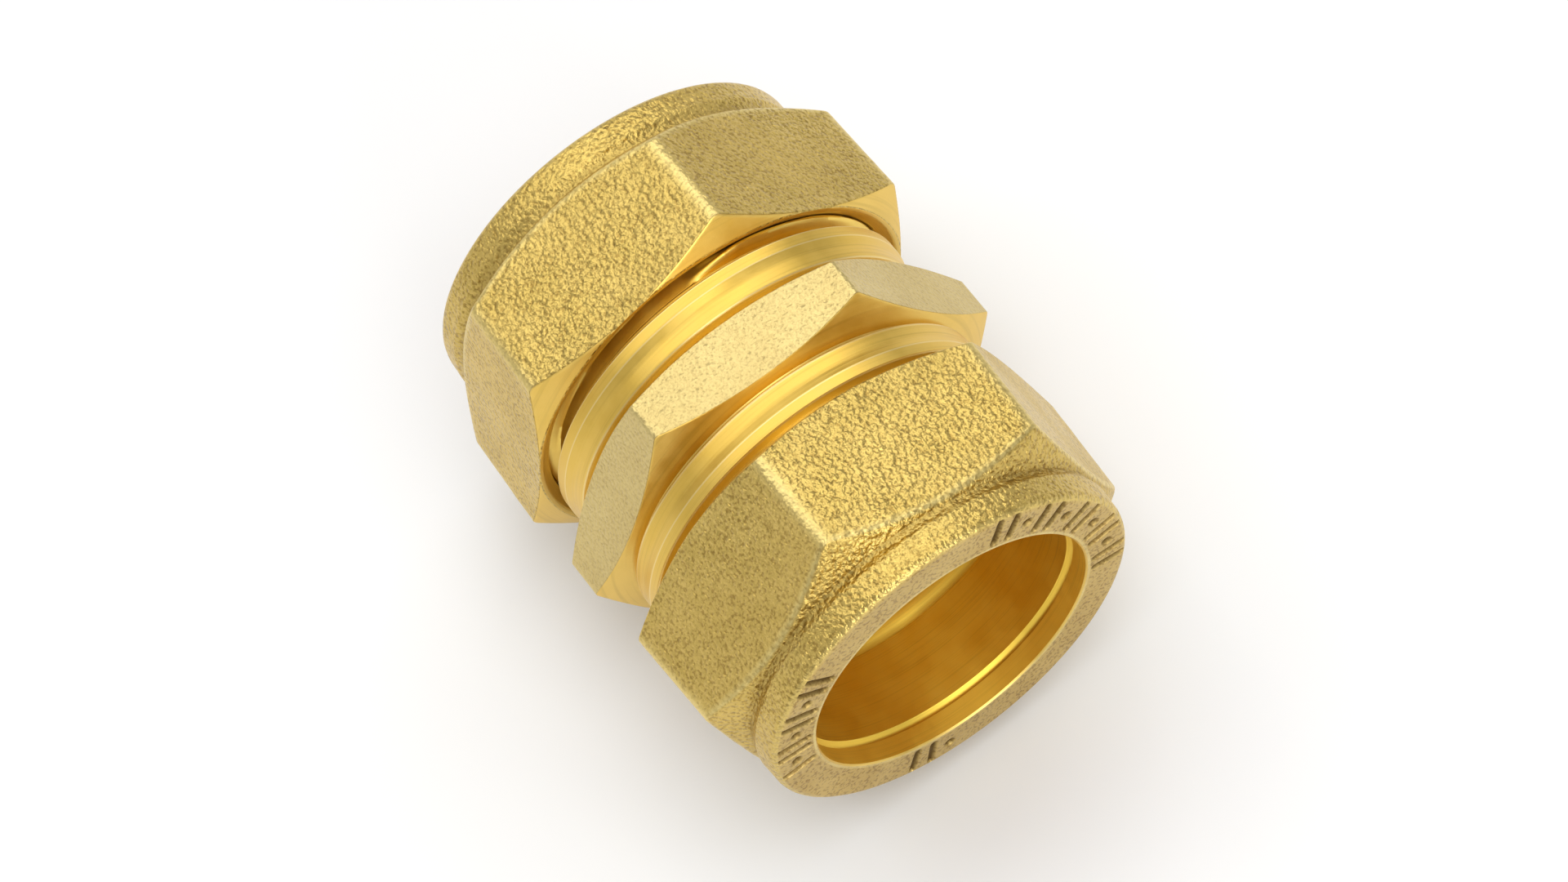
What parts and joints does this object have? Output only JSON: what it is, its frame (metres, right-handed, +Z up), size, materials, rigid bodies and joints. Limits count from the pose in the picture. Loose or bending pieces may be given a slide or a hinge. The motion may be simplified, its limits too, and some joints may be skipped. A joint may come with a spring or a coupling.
{
  "type": "compression tube coupling",
  "caption": "Straight brass compression coupling that joins two plain tubes end to end with hexagon nuts and olives.",
  "frame": {"origin": "middle of the body on the tube axis", "axes": "+X along the tube axis towards side a, +Z up as the fitting lies on a table, on one ridge of each nut"},
  "size_m": [0.0412, 0.0336, 0.034],
  "materials": {
    "forged_brass": "shot-blasted forging",
    "machined_brass": "satin turned",
    "olive_brass": "bright turned"
  },
  "bodies": {
    "body": {"body": "machined_brass"},
    "olive_a": {"olive_a": "olive_brass"},
    "nut_a": {"nut_a": "forged_brass"},
    "olive_b": {"olive_b": "olive_brass"},
    "nut_b": {"nut_b": "forged_brass"}
  },
  "joints": [
    {"name": "olive_a_travel", "type": "slide", "parent": "body", "child": "olive_a", "axis": [1, 0, 0], "range_m": [0, 0.0045]},
    {"name": "nut_a_turn", "type": "hinge", "parent": "olive_a", "child": "nut_a", "pos_m": [0, 0, 0], "axis": [1, 0, 0], "range_deg": [0, 1080]},
    {"name": "olive_b_travel", "type": "slide", "parent": "body", "child": "olive_b", "axis": [-1, 0, 0], "range_m": [0, 0.0045]},
    {"name": "nut_b_turn", "type": "hinge", "parent": "olive_b", "child": "nut_b", "pos_m": [0, 0, 0], "axis": [-1, 0, 0], "range_deg": [0, 1080]}
  ],
  "couplings": [
    {"joint": "olive_a_travel", "follows": "nut_a_turn", "m_per_rad": 0.00023873},
    {"joint": "olive_b_travel", "follows": "nut_b_turn", "m_per_rad": 0.00023873}
  ]
}
